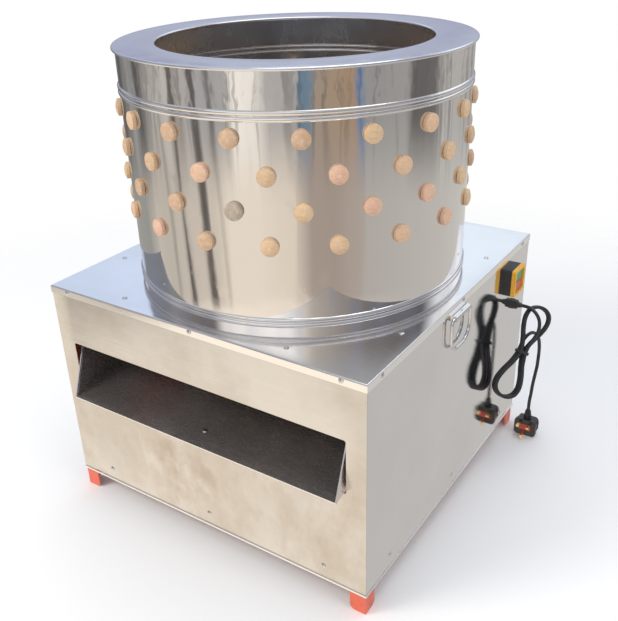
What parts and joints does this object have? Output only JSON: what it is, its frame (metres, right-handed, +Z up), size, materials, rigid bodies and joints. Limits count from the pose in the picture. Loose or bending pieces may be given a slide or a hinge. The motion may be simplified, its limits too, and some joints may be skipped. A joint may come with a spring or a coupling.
{
  "type": "poultry plucker",
  "caption": "Drum poultry plucker: square sheet cabinet on angle legs, open polished drum lined with rubber fingers over a belt-driven finger turntable, and a front feather chute.",
  "frame": {"origin": "on the floor, under the middle of the machine without its cord", "axes": "+Z up, the chute faces -Y, the switch and cord are on the +X side"},
  "size_m": [0.7484, 0.687, 0.862],
  "materials": {
    "painted_frame": "gloss paint",
    "panel_sheet": "satin stainless sheet",
    "polished_drum": "polished stainless sheet",
    "screw_steel": "bright screws",
    "finger_rubber": "matt rubber",
    "bearing_iron": "painted casting",
    "shaft_steel": "turned steel",
    "motor_paint": "semi-gloss paint",
    "belt_rubber": "matt rubber",
    "switch_black": "moulded",
    "switch_yellow": "moulded",
    "start_green": "moulded",
    "stop_red": "moulded",
    "handle_steel": "bright rod",
    "gland_nylon": "moulded nylon",
    "cord_rubber": "rubber sheath",
    "tie_wire": "coated wire tie",
    "plug_black": "moulded",
    "plug_brass": "bare",
    "fuse_red": "moulded"
  },
  "bodies": {
    "cabinet": {"frame_legs": "painted_frame", "top_rails": "painted_frame", "frame_rails": "painted_frame", "bearing_beams": "painted_frame", "motor_rails": "painted_frame", "front_panel": "panel_sheet", "back_panel": "panel_sheet", "left_panel": "panel_sheet", "right_panel": "panel_sheet", "top_panel": "panel_sheet", "flange_screws": "screw_steel", "deck_screws": "screw_steel", "panel_screws": "screw_steel", "feather_chute": "panel_sheet", "chute_screw": "screw_steel", "splash_sleeve": "panel_sheet", "drum_shell": "polished_drum", "drum_rim": "polished_drum", "drum_bolts": "screw_steel", "wall_fingers_row_1": "finger_rubber", "wall_fingers_row_2": "finger_rubber", "wall_fingers_row_3": "finger_rubber", "wall_fingers_row_4": "finger_rubber", "upper_bearing": "bearing_iron", "lower_bearing": "bearing_iron", "bearing_inserts": "shaft_steel", "bearing_bolts": "screw_steel", "motor_plate": "painted_frame", "motor_plate_bolts": "screw_steel", "motor_flange": "motor_paint", "motor_housing": "motor_paint", "motor_fan_cover": "motor_paint", "motor_terminal_box": "motor_paint", "motor_bolts": "screw_steel", "drive_belt": "belt_rubber", "switch_base": "switch_black", "switch_cover": "switch_yellow", "handle_brackets": "handle_steel", "gland_body": "gland_nylon", "gland_nut": "gland_nylon", "cord_lead": "cord_rubber", "cord_hank": "cord_rubber", "cord_tail": "cord_rubber", "cord_tie": "tie_wire", "plug_body": "plug_black", "plug_pins": "plug_brass", "plug_fuse_cover": "fuse_red"},
    "turntable": {"turntable_plate": "panel_sheet", "turntable_fingers": "finger_rubber", "turntable_hub": "bearing_iron", "hub_bolts": "screw_steel", "main_shaft": "shaft_steel", "shaft_nut": "screw_steel", "driven_pulley": "bearing_iron"},
    "motor_rotor": {"motor_shaft": "shaft_steel", "motor_pulley": "bearing_iron"},
    "right_handle": {"handle_right": "handle_steel"},
    "left_handle": {"handle_left": "handle_steel"},
    "start_switch": {"start_button": "start_green"},
    "stop_switch": {"stop_button": "stop_red"}
  },
  "joints": [
    {"name": "turntable_spin", "type": "hinge", "parent": "cabinet", "child": "turntable", "pos_m": [0, 0.0101, 0.47], "axis": [0, 0, 1], "continuous": true},
    {"name": "motor_spin", "type": "hinge", "parent": "cabinet", "child": "motor_rotor", "pos_m": [0, 0.2151, 0.1], "axis": [0, 0, 1], "continuous": true},
    {"name": "right_handle_swing", "type": "hinge", "parent": "cabinet", "child": "right_handle", "pos_m": [0.337, -0.0069, 0.43], "axis": [0, -1, 0], "range_deg": [0, 170]},
    {"name": "left_handle_swing", "type": "hinge", "parent": "cabinet", "child": "left_handle", "pos_m": [-0.337, -0.0069, 0.43], "axis": [0, 1, 0], "range_deg": [0, 170]},
    {"name": "start_press", "type": "slide", "parent": "cabinet", "child": "start_switch", "axis": [-1, 0, 0], "range_m": [0, 0.003], "stiffness_N_per_m": 400},
    {"name": "stop_press", "type": "slide", "parent": "cabinet", "child": "stop_switch", "axis": [-1, 0, 0], "range_m": [0, 0.003], "stiffness_N_per_m": 400}
  ],
  "couplings": [
    {"joint": "motor_spin", "follows": "turntable_spin", "ratio": 4.6032}
  ]
}
